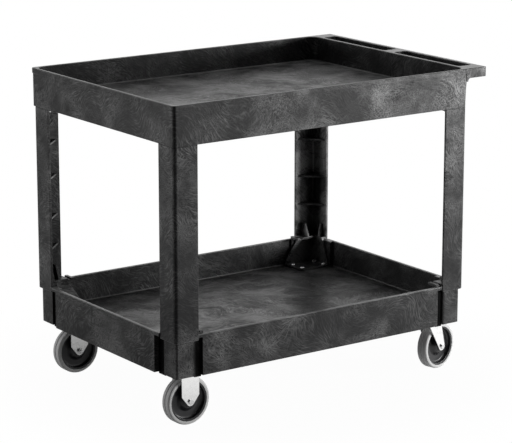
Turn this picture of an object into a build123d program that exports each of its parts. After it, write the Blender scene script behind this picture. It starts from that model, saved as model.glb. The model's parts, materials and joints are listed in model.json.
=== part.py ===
"""Rolling utility cart: two moulded trays, four corner legs, two rigid and two swivelling casters.

Millimetres. +X is the handle end, +Y the back, +Z up. The origin lies on the floor,
under the middle of the bounding box.
"""
import os
from math import acos, atan2, cos, hypot, radians, sin

from build123d import *

# Overall sizes
overall_length = 1000.0
overall_width = 690.0
overall_height = 840.0

# Top tray
tray_wall = 6.0
tray_floor = 6.0
tray_depth = 69.0
tray_skirt_height = 103.0
tray_outer_radius = 9.0
tray_inner_radius = 30.0
band_height = 14.0
band_projection = 1.5
tray_rib = 5.0
tray_rib_depth = 20.0
tray_rib_pitch = 92.0

# Handle end of the top tray
ledge_thickness = 26.0
handle_bar = 16.0
hand_slot_width = 44.0
hand_slot_web = 42.0
hand_slot_margin = 45.0
hand_slot_radius = 8.0
end_wall_top = 10.0
end_wall_lean = 8.0
ledge_root = 9.0
ledge_bite = 0.8
ledge_sweep_radius = 8.0
bar_edge_radius = 6.0

# Legs
leg_left_inset = 4.0
leg_right_proud = 4.0
leg_side_inset = 5.5
leg_flange = 70.0
leg_wall = 7.0
leg_corner_radius = 10.0
leg_inner_radius = 3.0
leg_lip_overlap = 15.0
leg_rib = 5.0
leg_rib_inset = 4.0
leg_rib_rises = (103.0, 186.0)
leg_rib_drops = (190.0, 97.0)
leg_top_plate = 8.0
leg_top_cut = 35.0
leg_top_web = 6.0
saddle = 7.0
saddle_depth = 42.0
tongue = 3.0
tongue_length = 18.0
tongue_stop = 9.0
boot_wall = 6.0
boot_flange = 6.0
boot_pocket = 1.0
boot_flare_x = 12.0
boot_flare_y = 10.0
gusset = 6.0
gusset_height = 36.0
side_gusset_place = 45.0
side_gusset_foot = 38.0
side_gusset_head = 22.0
end_gusset_place = 52.0
end_gusset_head = 14.0

# Lower shelf
shelf_wall_height = 109.0
shelf_depth = 75.0
shelf_floor = 7.0
shelf_wall = 7.0
shelf_end_proud = 2.0
shelf_side_inset = 3.5
shelf_rim_band = 9.0
shelf_rim_projection = 1.5
corner_wall = 9.0
groove_depth = 4.0
groove_cover = 6.0
groove_width_front = 20.0
groove_width_end = 31.0
groove_lug = 4.0
shelf_rib = 5.0
shelf_rib_depth = 18.0
shelf_rib_pitch = 92.0
block_corner_radius = 6.0
caster_pad = 10.0

# Casters
wheel_diameter = 127.0
wheel_width = 32.0
tyre_thickness = 9.5
tyre_shoulder = 6.0
tread_groove_width = 4.0
tread_groove_depth = 1.5
wheel_headroom = 17.0
plate_length = 95.0
plate_width = 67.0
plate_thickness = 3.0
plate_corner = 8.0
bolt_pitch_x = 76.2
bolt_pitch_y = 44.5
rigid_bolt_clearance = 6.75
swivel_bolt_clearance = 0.75
caster_side_inset = 67.5
fork_steel = 3.0
fork_bend = 2.5
fork_tip_radius = 12.0
fork_shoulder = 15.0
rigid_fork_width = 53.0
swivel_fork_front = 18.0
swivel_fork_back = 34.0
swivel_trail = 40.0
swivel_turn = {"front": 12.6, "back": 0.0}
crown_radius = 29.0
crown_thickness = 5.0
crown_corner = 8.0
race_radius = 20.0
race_boss_radius = 27.0
race_gap = 2.0
ball_diameter = 6.0
ball_count = 12
kingpin_diameter = 10.0
kingpin_head = 18.0
kingpin_head_height = 4.0
kingpin_nut = 17.0
kingpin_nut_height = 7.0

# Wheel centre
sleeve_diameter = 16.0
hub_boss_radius = 17.0
hub_boss_proud = 3.0
hub_boss_chamfer = 2.0
hub_web = 6.0
hub_rim = 5.0
hub_rim_width = 29.0
hub_dish = 6.0

# Fasteners
bolt_diameter = 8.0
bolt_head_diameter = 13.5
bolt_head_height = 4.5
bolt_head_round = 3.1
nut_width = 13.0
nut_height = 6.5
bolt_tail = 2.0
screw_diameter = 6.0
screw_head_diameter = 12.0
screw_head_gap = 0.5
screw_head_height = 4.0
screw_grip = 13.0
screw_hole_spare = 1.0
boss_diameter = 16.0
boss_margin = 2.0
axle_diameter = 8.0

# Clearances
seat_gap = 0.2
skirt_gap = 0.3
hole_gap = 0.25
running_gap = 0.05
ball_gap = 0.15
wheel_side_gap = 0.7

# Planes and edges worked out from the sizes above
left = -overall_length / 2
right = overall_length / 2
half_width = overall_width / 2
wall_left = left + band_projection
wall_side = half_width - band_projection
tray_in_left = wall_left + tray_wall
tray_in_side = wall_side - tray_wall
skirt_z = overall_height - tray_skirt_height
tray_floor_z = overall_height - tray_depth
tray_under_z = tray_floor_z - tray_floor
ledge_z = overall_height - ledge_thickness
slot_right = right - handle_bar
slot_left = slot_right - hand_slot_width
tray_in_right = slot_left - end_wall_top
end_wall_head = slot_left
end_wall_foot = end_wall_head - end_wall_lean
end_wall_start = end_wall_foot - 2 * tray_outer_radius
end_wall_curve = (end_wall_lean ** 2 + tray_skirt_height ** 2) / (2 * end_wall_lean)
skirt_in_right = end_wall_foot - tray_wall

leg_left = left + leg_left_inset
leg_right = end_wall_foot + leg_right_proud
leg_side = half_width - leg_side_inset
leg_middle = (leg_left + leg_right) / 2

# The casters stack up from the floor to their plates, and the shelf stands on the plates
wheel_radius = wheel_diameter / 2
hub_radius = wheel_radius - tyre_thickness
hub_length = wheel_width + 2 * hub_boss_proud
hub_boss_tip = hub_boss_radius - hub_boss_chamfer
fork_inside = hub_length + 2 * wheel_side_gap
fork_outside = fork_inside + 2 * fork_steel
crown_under = wheel_diameter + wheel_headroom
crown_z = crown_under + crown_thickness
race_z = crown_z + race_gap
plate_under = race_z + ball_diameter - race_gap / 2
caster_height = plate_under + plate_thickness

shelf_left = leg_left - shelf_end_proud
shelf_right = leg_right + shelf_end_proud
shelf_side = leg_side - shelf_side_inset
shelf_under_z = caster_height + caster_pad
shelf_floor_z = shelf_under_z + shelf_floor
shelf_rim_z = shelf_floor_z + shelf_depth
shelf_bottom = shelf_rim_z - shelf_wall_height
pocket_z = shelf_floor_z - boot_pocket
bolt_top = shelf_floor_z + boot_flange
lip_z = shelf_rim_z - leg_lip_overlap
block_face = leg_wall + seat_gap
groove_face = block_face + groove_depth
corner_in = block_face + corner_wall
boot_out = corner_in + seat_gap
boot_in = boot_out + boot_wall
leg_edge = leg_flange + seat_gap
tongue_end = leg_flange + tongue_length
groove_start = leg_flange - groove_cover
groove_end_front = groove_start + groove_width_front
groove_end_end = groove_start + groove_width_end
saddle_z = shelf_rim_z + seat_gap

corners = {
    "front_left": (-1, -1),
    "front_right": (1, -1),
    "back_left": (-1, 1),
    "back_right": (1, 1),
}


def corner_x(end, inward):
    """X of a point that lies this far inward from the leg's end face."""
    if end > 0:
        return leg_right - inward
    return leg_left + inward


def corner_y(side, inward):
    """Y of a point that lies this far inward from the leg's side face."""
    return side * (leg_side - inward)


def corner_point(end, side, across, along):
    return (corner_x(end, across), corner_y(side, along))


def corner_rectangle(end, side, across, along, mode=Mode.ADD):
    """Rectangle in the current sketch, given by two ranges measured inward from the leg's faces."""
    x0, x1 = (corner_x(end, a) for a in across)
    y0, y1 = (corner_y(side, a) for a in along)
    with Locations(((x0 + x1) / 2, (y0 + y1) / 2)):
        Rectangle(abs(x1 - x0), abs(y1 - y0), mode=mode)


def plan_rectangle(x0, x1, half_y, mode=Mode.ADD):
    """Rectangle in the current sketch between two X values, symmetric about Y = 0."""
    with Locations(((x0 + x1) / 2, 0)):
        Rectangle(x1 - x0, 2 * half_y, mode=mode)


def caster_inset(end):
    """Distance of a caster's middle from the leg's end face: its outer bolt heads clear the boot panel."""
    clearance = swivel_bolt_clearance if end > 0 else rigid_bolt_clearance
    return boot_in + clearance + bolt_head_diameter / 2 + bolt_pitch_x / 2


def caster_centre(end, side):
    return corner_point(end, side, caster_inset(end), caster_side_inset)


def caster_bolt_points(end, side):
    x, y = caster_centre(end, side)
    signs = [(i, j) for i in (-1, 1) for j in (-1, 1)]
    return [(x + i * bolt_pitch_x / 2, y + j * bolt_pitch_y / 2) for i, j in signs]


def boot_reach(end):
    """How far the boot flange reaches inward from the leg's two faces."""
    reach_x = caster_inset(end) + bolt_pitch_x / 2 + boot_flare_x
    reach_y = caster_side_inset + bolt_pitch_y / 2 + boot_flare_y
    return reach_x, reach_y


def boot_face(end, side, level, gap=0.0):
    """Plan of the boot flange at one height, grown by a gap."""
    reach_x, reach_y = boot_reach(end)
    with BuildSketch(Plane.XY.offset(level)) as face:
        corner_rectangle(end, side, (boot_out - gap, reach_x + gap), (boot_out - gap, reach_y + gap))
        tip = corner_point(end, side, reach_x, reach_y)
        fillet(face.vertices().sort_by_distance(tip)[0], boot_flare_x + gap)
    return face.sketch


def leg_screw_points(end, side):
    boss_near = skirt_x_inset(end) + boss_diameter / 2 + boss_margin
    near = max(boss_near, leg_wall + screw_head_diameter / 2 + screw_head_gap)
    far = leg_flange - boss_diameter
    return [corner_point(end, side, near, far), corner_point(end, side, far, near)]


def skirt_x_inset(end):
    """How far inward from the leg's end face the skirt's inner face lies."""
    if end > 0:
        return leg_right - skirt_in_right
    return tray_in_left - leg_left


def save(piece, name):
    piece.part.label = name
    export_step(piece.part, f"parts/{name}.step")


def end_wall_x(level):
    """Where the outer face of the leaning end wall is at a level."""
    return end_wall_foot + end_wall_curve - (end_wall_curve ** 2 - (level - skirt_z) ** 2) ** 0.5


def even_places(low, high, pitch):
    """Places between two ends, evenly spread at about the given pitch, without the ends."""
    count = round((high - low) / pitch)
    return [low + (high - low) * k / count for k in range(1, count)]


os.makedirs("parts", exist_ok=True)

# Top tray
with BuildPart() as top_tray:
    # The end wall leans out towards the handle ledge
    with BuildSketch(Plane.XZ):
        with BuildLine():
            foot = (end_wall_foot, skirt_z)
            head = (end_wall_head, overall_height)
            TangentArc(foot, head, tangent=(0, 1))
            Polyline(head, (end_wall_start, overall_height), (end_wall_start, skirt_z), foot)
        make_face()
    extrude(amount=wall_side, both=True)
    fillet(top_tray.edges().filter_by(GeomType.CIRCLE), tray_outer_radius)
    with BuildSketch(Plane.XY.offset(skirt_z)) as body:
        plan_rectangle(wall_left, end_wall_foot - tray_outer_radius, wall_side)
        fillet(body.vertices().group_by(Axis.X)[0], tray_outer_radius)
    extrude(amount=tray_skirt_height)
    # The ledge sweeps out of the end wall and ends in the rounded bar
    with BuildSketch(Plane.XZ) as ledge:
        with BuildLine():
            sweep = (end_wall_x(ledge_z) + ledge_bite, ledge_z)
            root = (end_wall_x(ledge_z - ledge_root) - ledge_bite, ledge_z - ledge_root)
            Polyline(
                (tray_in_right, overall_height), (right, overall_height), (right, ledge_z), sweep,
                root, (tray_in_right, ledge_z - ledge_root),
                close=True,
            )
        make_face()
        fillet(ledge.vertices().sort_by_distance(sweep)[0], ledge_sweep_radius)
        fillet(ledge.vertices().group_by(Axis.X)[-1], bar_edge_radius)
    extrude(amount=half_width, both=True)
    with BuildSketch(Plane.XY.offset(ledge_z)):
        r = tray_outer_radius
        for side in (-1, 1):
            with Locations((right - r / 2, side * (half_width - r / 2))):
                Rectangle(r, r)
            with Locations((right - r, side * (half_width - r))):
                Circle(r, mode=Mode.SUBTRACT)
    extrude(amount=ledge_thickness, mode=Mode.SUBTRACT)
    with BuildSketch(Plane.XY.offset(overall_height - band_height)) as band:
        plan_rectangle(left, slot_left, half_width)
        fillet(band.vertices().group_by(Axis.X)[0], tray_outer_radius)
    extrude(amount=band_height)
    with BuildSketch(Plane.XY.offset(tray_floor_z)) as basin:
        plan_rectangle(tray_in_left, tray_in_right, tray_in_side)
        fillet(basin.vertices(), tray_inner_radius)
    extrude(amount=tray_depth, mode=Mode.SUBTRACT)
    with BuildSketch(Plane.XY.offset(skirt_z)) as hollow:
        plan_rectangle(tray_in_left, skirt_in_right, tray_in_side)
    extrude(amount=tray_under_z - skirt_z, mode=Mode.SUBTRACT)
    # Two hand slots, with a web between them, right through the ledge
    slot_length = half_width - hand_slot_margin - hand_slot_web / 2
    with BuildSketch(Plane.XY.offset(ledge_z - ledge_root)) as hand_slots:
        for side in (-1, 1):
            with Locations(((slot_left + slot_right) / 2, side * (hand_slot_web + slot_length) / 2)):
                RectangleRounded(hand_slot_width, slot_length, hand_slot_radius)
    extrude(amount=ledge_thickness + ledge_root, mode=Mode.SUBTRACT)
    # Ribs under the floor, kept clear of the four leg pockets
    with BuildSketch(Plane.XY.offset(tray_under_z - tray_rib_depth)) as tray_ribs:
        pocket = leg_flange + tray_rib
        for x in even_places(corner_x(-1, pocket), corner_x(1, pocket), tray_rib_pitch):
            with Locations((x, 0)):
                Rectangle(tray_rib, 2 * tray_in_side)
        for y in even_places(corner_y(-1, pocket), corner_y(1, pocket), tray_rib_pitch):
            with Locations(((tray_in_left + skirt_in_right) / 2, y)):
                Rectangle(skirt_in_right - tray_in_left, tray_rib)
    extrude(amount=tray_rib_depth)
    with BuildSketch(Plane.XY.offset(skirt_z + leg_top_plate)) as bosses:
        for end, side in corners.values():
            with Locations(*leg_screw_points(end, side)):
                Circle(boss_diameter / 2)
    extrude(amount=tray_under_z - skirt_z - leg_top_plate)
    with BuildSketch(Plane.XY.offset(skirt_z + leg_top_plate)) as boss_holes:
        for end, side in corners.values():
            with Locations(*leg_screw_points(end, side)):
                Circle(screw_diameter / 2 + hole_gap)
    extrude(amount=screw_grip + screw_hole_spare, mode=Mode.SUBTRACT)
save(top_tray, "top_tray")

# Lower shelf
with BuildPart() as lower_shelf:
    with BuildSketch(Plane.XY.offset(shelf_bottom)) as shelf_outline:
        plan_rectangle(shelf_left, shelf_right, shelf_side)
        for end, side in corners.values():
            corner_rectangle(end, side, (-leg_wall, block_face), (-leg_wall, leg_edge), Mode.SUBTRACT)
            corner_rectangle(end, side, (-leg_wall, leg_edge), (-leg_wall, block_face), Mode.SUBTRACT)
            block_corner = corner_point(end, side, block_face, block_face)
            fillet(shelf_outline.vertices().sort_by_distance(block_corner)[0], block_corner_radius)
    extrude(amount=shelf_wall_height)
    with BuildSketch(Plane.XY.offset(shelf_rim_z - shelf_rim_band)) as shelf_rim:
        edge = shelf_rim_projection
        plan_rectangle(shelf_left - edge, shelf_right + edge, shelf_side + edge)
        for end, side in corners.values():
            reach = (-2 * leg_wall, leg_edge)
            corner_rectangle(end, side, reach, reach, Mode.SUBTRACT)
    extrude(amount=shelf_rim_band)
    # Grooves beside each corner block, closed at the top by the rim
    with BuildSketch(Plane.XY.offset(shelf_bottom)) as grooves:
        for end, side in corners.values():
            corner_rectangle(end, side, (-leg_wall, groove_face), (groove_start, groove_end_end))
            corner_rectangle(end, side, (groove_start, groove_end_front), (-leg_wall, groove_face))
    extrude(amount=shelf_wall_height - shelf_rim_band, mode=Mode.SUBTRACT)
    for level, height in ((shelf_bottom, shelf_under_z - shelf_bottom), (shelf_floor_z, shelf_depth)):
        with BuildSketch(Plane.XY.offset(level)) as shelf_inside:
            plan_rectangle(shelf_left + shelf_wall, shelf_right - shelf_wall, shelf_side - shelf_wall)
            for end, side in corners.values():
                pad_x = (-leg_wall, groove_end_front + shelf_wall)
                pad_y = (-leg_wall, groove_end_end + shelf_wall)
                corner_rectangle(end, side, (-leg_wall, corner_in), pad_y, Mode.SUBTRACT)
                corner_rectangle(end, side, pad_x, (-leg_wall, corner_in), Mode.SUBTRACT)
        extrude(amount=height, mode=Mode.SUBTRACT)
    # Ribs below the floor and a thick pad over each caster
    with BuildSketch(Plane.XY.offset(shelf_under_z - shelf_rib_depth)) as shelf_ribs:
        pad_edge = caster_inset(-1) + plate_length / 2 + shelf_rib
        for x in even_places(corner_x(-1, pad_edge), corner_x(1, pad_edge), shelf_rib_pitch):
            with Locations((x, 0)):
                Rectangle(shelf_rib, 2 * (shelf_side - shelf_wall))
        pad_edge = caster_side_inset + plate_width / 2 + shelf_rib
        for y in even_places(corner_y(-1, pad_edge), corner_y(1, pad_edge), shelf_rib_pitch):
            with Locations((leg_middle, y)):
                Rectangle(shelf_right - shelf_left - 2 * shelf_wall, shelf_rib)
    extrude(amount=shelf_rib_depth)
    with BuildSketch(Plane.XY.offset(caster_height)) as pads:
        for end, side in corners.values():
            along_x = (corner_in, caster_inset(end) + plate_length / 2)
            corner_rectangle(end, side, along_x, (corner_in, caster_side_inset + plate_width / 2))
    extrude(amount=shelf_under_z - caster_height)
    # Small lugs below the grooves
    with BuildSketch(Plane.XY.offset(shelf_bottom - groove_lug)) as lugs:
        for end, side in corners.values():
            corner_rectangle(end, side, (groove_face, corner_in), (groove_start, groove_end_end))
            corner_rectangle(end, side, (groove_start, groove_end_front), (groove_face, corner_in))
    extrude(amount=groove_lug)
    # Shallow pocket that locates each boot, and the bolt holes in it
    for end, side in corners.values():
        extrude(boot_face(end, side, shelf_floor_z, seat_gap), amount=-boot_pocket, mode=Mode.SUBTRACT)
    with BuildSketch(Plane.XY.offset(caster_height)) as shelf_holes:
        for end, side in corners.values():
            with Locations(*caster_bolt_points(end, side)):
                Circle(bolt_diameter / 2 + hole_gap)
    extrude(amount=shelf_floor_z - caster_height, mode=Mode.SUBTRACT)
save(lower_shelf, "lower_shelf")


def make_leg(name, end, side):
    """One corner leg: upright angle, ribs, top plate, saddle and boot."""
    def point(across, along):
        return corner_point(end, side, across, along)

    def web(size, level):
        """Triangle that fills the angle of the leg at one height."""
        inner = leg_wall / 2
        with BuildSketch(Plane.XY.offset(level)) as triangle:
            with BuildLine():
                Polyline(point(inner, inner), point(size, inner), point(inner, size), close=True)
            make_face()
        return triangle.sketch

    def top_face(start_x, start_y, level):
        """Plan of the plate at the leg's top: a square with its inner corner cut off."""
        with BuildSketch(Plane.XY.offset(level)) as face:
            with BuildLine():
                Polyline(
                    point(start_x, start_y), point(leg_flange, start_y), point(leg_flange, leg_top_cut),
                    point(leg_top_cut, leg_flange), point(start_x, leg_flange),
                    close=True,
                )
            make_face()
        return face.sketch

    flange_x, flange_y = boot_reach(end)
    leg_rib_heights = [shelf_rim_z + rise for rise in leg_rib_rises]
    leg_rib_heights += [skirt_z - drop for drop in leg_rib_drops]
    with BuildPart() as leg:
        with BuildSketch(Plane.XY.offset(lip_z)) as angle:
            with BuildLine():
                Polyline(
                    point(0, 0), point(leg_flange, 0), point(leg_flange, leg_wall),
                    point(leg_wall, leg_wall), point(leg_wall, leg_flange), point(0, leg_flange),
                    close=True,
                )
            make_face()
            fillet(angle.vertices().sort_by_distance(point(0, 0))[0], leg_corner_radius)
            fillet(angle.vertices().sort_by_distance(point(leg_wall, leg_wall))[0], leg_inner_radius)
        extrude(amount=skirt_z - lip_z)
        for height in leg_rib_heights:
            extrude(web(leg_flange - leg_rib_inset, height - leg_rib), amount=leg_rib)
        # Plate across the leg's top that stands up inside the tray's skirt, under the screw bosses
        extrude(top_face(leg_wall / 2, leg_wall / 2, skirt_z - leg_top_web), amount=leg_top_web)
        start_x = skirt_x_inset(end) + skirt_gap
        start_y = leg_side - tray_in_side + skirt_gap
        extrude(top_face(start_x, start_y, skirt_z), amount=leg_top_plate)
        # Saddle over the shelf's corner wall, with a thin tongue along the long wall that ends in a stop
        with BuildSketch(Plane.XY.offset(saddle_z)):
            corner_rectangle(end, side, (leg_wall / 2, boot_in), (leg_wall / 2, leg_flange))
            corner_rectangle(end, side, (leg_wall / 2, leg_flange), (leg_wall / 2, saddle_depth))
            corner_rectangle(end, side, (tongue_end - tongue_stop, tongue_end), (leg_wall, saddle_depth))
        extrude(amount=saddle)
        with BuildSketch(Plane.XY.offset(saddle_z)):
            corner_rectangle(end, side, (leg_flange - leg_wall, tongue_end), (leg_wall, saddle_depth))
        extrude(amount=tongue)
        # Boot panels inside the shelf's corner wall, and the flange that they stand on
        middle = (boot_out + boot_in) / 2
        with BuildSketch(Plane.XZ.offset(-corner_y(side, middle))):
            with BuildLine():
                Polyline(
                    (corner_x(end, boot_out), pocket_z), (corner_x(end, flange_x), pocket_z),
                    (corner_x(end, flange_x), bolt_top), (corner_x(end, leg_flange), saddle_z + saddle),
                    (corner_x(end, boot_out), saddle_z + saddle),
                    close=True,
                )
            make_face()
        extrude(amount=boot_wall / 2, both=True)
        with BuildSketch(Plane.YZ.offset(corner_x(end, middle))):
            with BuildLine():
                Polyline(
                    (corner_y(side, boot_out), pocket_z), (corner_y(side, flange_y), pocket_z),
                    (corner_y(side, flange_y), bolt_top), (corner_y(side, leg_flange), saddle_z + saddle),
                    (corner_y(side, boot_out), saddle_z + saddle),
                    close=True,
                )
            make_face()
        extrude(amount=boot_wall / 2, both=True)
        extrude(boot_face(end, side, pocket_z), amount=boot_pocket + boot_flange)
        # Upright gussets that stand on the saddle, one against each flange
        gusset_foot = saddle_z + saddle / 2
        gusset_top = saddle_z + saddle + gusset_height
        with BuildSketch(Plane.YZ.offset(corner_x(end, side_gusset_place))):
            with BuildLine():
                Polyline(
                    (corner_y(side, leg_wall / 2), gusset_foot),
                    (corner_y(side, side_gusset_foot), gusset_foot),
                    (corner_y(side, side_gusset_foot), saddle_z + saddle),
                    (corner_y(side, side_gusset_head), gusset_top),
                    (corner_y(side, leg_wall / 2), gusset_top),
                    close=True,
                )
            make_face()
        extrude(amount=gusset / 2, both=True)
        with BuildSketch(Plane.XZ.offset(-corner_y(side, end_gusset_place))):
            with BuildLine():
                Polyline(
                    (corner_x(end, leg_wall / 2), gusset_foot),
                    (corner_x(end, boot_in), gusset_foot),
                    (corner_x(end, boot_in), saddle_z + saddle),
                    (corner_x(end, end_gusset_head), gusset_top),
                    (corner_x(end, leg_wall / 2), gusset_top),
                    close=True,
                )
            make_face()
        extrude(amount=gusset / 2, both=True)
        with BuildSketch(Plane.XY.offset(pocket_z)):
            with Locations(*caster_bolt_points(end, side)):
                Circle(bolt_diameter / 2 + hole_gap)
        extrude(amount=boot_pocket + boot_flange, mode=Mode.SUBTRACT)
        with BuildSketch(Plane.XY.offset(skirt_z - leg_top_web)):
            with Locations(*leg_screw_points(end, side)):
                Circle(screw_diameter / 2 + hole_gap)
        extrude(amount=leg_top_web + leg_top_plate, mode=Mode.SUBTRACT)
    save(leg, f"leg_{name}")


for name, (end, side) in corners.items():
    make_leg(name, end, side)

# Screws from below, through each leg's top plate into the tray's bosses
with BuildPart() as leg_screws:
    screw_seat = skirt_z - leg_top_web
    points = [p for end, side in corners.values() for p in leg_screw_points(end, side)]
    with BuildSketch(Plane.XY.offset(screw_seat - screw_head_height)):
        with Locations(*points):
            Circle(screw_head_diameter / 2)
    extrude(amount=screw_head_height)
    with BuildSketch(Plane.XY.offset(screw_seat)):
        with Locations(*points):
            Circle(screw_diameter / 2)
    extrude(amount=leg_top_web + leg_top_plate + screw_grip)
save(leg_screws, "leg_screws")

# Bolts that clamp boot flange, shelf floor and caster plate together
bolt_points = [p for end, side in corners.values() for p in caster_bolt_points(end, side)]
with BuildPart() as caster_bolts:
    with BuildSketch(Plane.XY.offset(bolt_top)):
        with Locations(*bolt_points):
            Circle(bolt_head_diameter / 2)
    extrude(amount=bolt_head_height)
    fillet(caster_bolts.edges().filter_by(GeomType.CIRCLE).group_by(Axis.Z)[-1], bolt_head_round)
    with BuildSketch(Plane.XY.offset(plate_under - nut_height - bolt_tail)):
        with Locations(*bolt_points):
            Circle(bolt_diameter / 2)
    extrude(amount=bolt_top - plate_under + nut_height + bolt_tail)
save(caster_bolts, "caster_bolts")

with BuildPart() as caster_nuts:
    with BuildSketch(Plane.XY.offset(plate_under - nut_height)):
        with Locations(*bolt_points):
            RegularPolygon(nut_width / 2, 6, major_radius=False)
            Circle(bolt_diameter / 2 + running_gap, mode=Mode.SUBTRACT)
    extrude(amount=nut_height)
save(caster_nuts, "caster_nuts")


def plate_face(frame):
    """Outline of a caster plate with its four bolt holes."""
    with BuildSketch(frame.offset(plate_under)) as outline:
        RectangleRounded(plate_length, plate_width, plate_corner)
        with GridLocations(bolt_pitch_x, bolt_pitch_y, 2, 2):
            Circle(bolt_diameter / 2 + hole_gap, mode=Mode.SUBTRACT)
    return outline.sketch


def upright(frame, offset=0.0):
    """Vertical plane through a caster's frame: X along its travel, Y up."""
    origin = frame.origin - frame.y_dir * offset
    return Plane(origin=origin, x_dir=frame.x_dir, z_dir=-frame.y_dir)


def fork_leg(frame, side, axle_x, edge):
    """Side view of a fork leg with a round tip at the axle.

    The edge is a list of points from the right shoulder over the top to the left shoulder.
    Straight lines run down from both shoulders to where they touch the tip.
    """
    def touch(shoulder, hand):
        dx = shoulder[0] - axle_x
        dz = shoulder[1] - wheel_radius
        turn = atan2(dz, dx) + hand * acos(fork_tip_radius / hypot(dx, dz))
        return (axle_x + fork_tip_radius * cos(turn), wheel_radius + fork_tip_radius * sin(turn))

    tip = (axle_x, wheel_radius - fork_tip_radius)
    right_tip = touch(edge[0], -1)
    left_tip = touch(edge[-1], 1)
    middle = (fork_inside + fork_steel) / 2
    with BuildSketch(upright(frame, side * middle)) as strap:
        with BuildLine():
            Polyline(right_tip, *edge, left_tip)
            ThreePointArc(left_tip, tip, right_tip)
        make_face()
        with Locations((axle_x, wheel_radius)):
            Circle(axle_diameter / 2 + hole_gap, mode=Mode.SUBTRACT)
    return strap.sketch


def make_rigid_fork(name, frame):
    """Plate and fork legs of a rigid caster, pressed from one sheet."""
    with BuildPart() as fork:
        extrude(plate_face(frame), amount=plate_thickness)
        half = rigid_fork_width / 2
        top = caster_height - plate_thickness / 2
        shoulder = wheel_radius + fork_shoulder
        edge = [(half, shoulder), (half, top), (-half, top), (-half, shoulder)]
        for side in (-1, 1):
            extrude(fork_leg(frame, side, 0, edge), amount=fork_steel / 2, both=True)
        # The legs bend out of the plate with a small radius on both faces
        along = fork.edges().filter_by(Axis.X).filter_by_position(Axis.Z, plate_under, plate_under)
        bends = along.filter_by(lambda e: abs(e.center().Y - frame.origin.Y) <= fork_outside / 2)
        fillet(bends, fork_bend)
    save(fork, f"rigid_fork_{name}")


def race_section(frame):
    """Circle that sweeps out the groove that the balls run in."""
    with BuildSketch(upright(frame)) as groove:
        with Locations((race_radius, race_z - race_gap / 2)):
            Circle(ball_diameter / 2 + ball_gap)
    return groove.sketch


def make_swivel_plate(name, frame):
    """Mounting plate of a swivel caster, with the boss that holds the kingpin and the upper race."""
    with BuildPart() as plate:
        extrude(plate_face(frame), amount=plate_thickness)
        with BuildSketch(frame.offset(race_z)):
            Circle(race_boss_radius)
        extrude(amount=plate_under - race_z)
        with BuildSketch(frame.offset(race_z)):
            Circle(kingpin_diameter / 2 + hole_gap)
        extrude(amount=caster_height - race_z, mode=Mode.SUBTRACT)
        with BuildSketch(frame.offset(caster_height - kingpin_head_height)):
            Circle(kingpin_head / 2 + hole_gap)
        extrude(amount=kingpin_head_height, mode=Mode.SUBTRACT)
        revolve(race_section(frame), axis=Axis(frame.origin, frame.z_dir), mode=Mode.SUBTRACT)
    save(plate, f"swivel_plate_{name}")


def make_swivel_fork(name, frame):
    """Fork of a swivel caster: a crown with the lower race and two raked legs."""
    with BuildPart() as fork:
        with BuildSketch(frame.offset(crown_under)):
            Circle(crown_radius)
            with Locations(((swivel_fork_back - swivel_fork_front) / 2, 0)):
                RectangleRounded(swivel_fork_front + swivel_fork_back, fork_outside, crown_corner)
        extrude(amount=crown_thickness)
        top = crown_under + crown_thickness / 2
        shoulder = crown_under - crown_corner
        edge = [
            (swivel_fork_back, shoulder), (swivel_fork_back - crown_corner, top),
            (crown_corner - swivel_fork_front, top), (-swivel_fork_front, shoulder),
        ]
        for side in (-1, 1):
            extrude(fork_leg(frame, side, swivel_trail, edge), amount=fork_steel / 2, both=True)
        with BuildSketch(frame.offset(crown_under)):
            Circle(kingpin_diameter / 2 + running_gap)
        extrude(amount=crown_thickness, mode=Mode.SUBTRACT)
        revolve(race_section(frame), axis=Axis(frame.origin, frame.z_dir), mode=Mode.SUBTRACT)
    save(fork, f"swivel_fork_{name}")


def make_balls(name, frame):
    with BuildPart() as balls:
        with Locations(frame.offset(race_z - race_gap / 2)):
            with PolarLocations(race_radius, ball_count):
                Sphere(ball_diameter / 2)
    save(balls, f"race_balls_{name}")


def make_kingpin(name, frame):
    """Kingpin with its head sunk in the plate, and the nut below the crown."""
    nut_top = crown_under - seat_gap
    pin_end = nut_top - kingpin_nut_height - bolt_tail
    with BuildPart() as pin:
        with BuildSketch(frame.offset(caster_height - kingpin_head_height)):
            Circle(kingpin_head / 2)
        extrude(amount=kingpin_head_height)
        with BuildSketch(frame.offset(pin_end)):
            Circle(kingpin_diameter / 2)
        extrude(amount=caster_height - kingpin_head_height - pin_end)
    save(pin, f"kingpin_{name}")
    with BuildPart() as nut:
        with BuildSketch(frame.offset(nut_top - kingpin_nut_height)):
            RegularPolygon(kingpin_nut / 2, 6, major_radius=False)
            Circle(kingpin_diameter / 2 + running_gap, mode=Mode.SUBTRACT)
        extrude(amount=kingpin_nut_height)
    save(nut, f"kingpin_nut_{name}")


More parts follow.
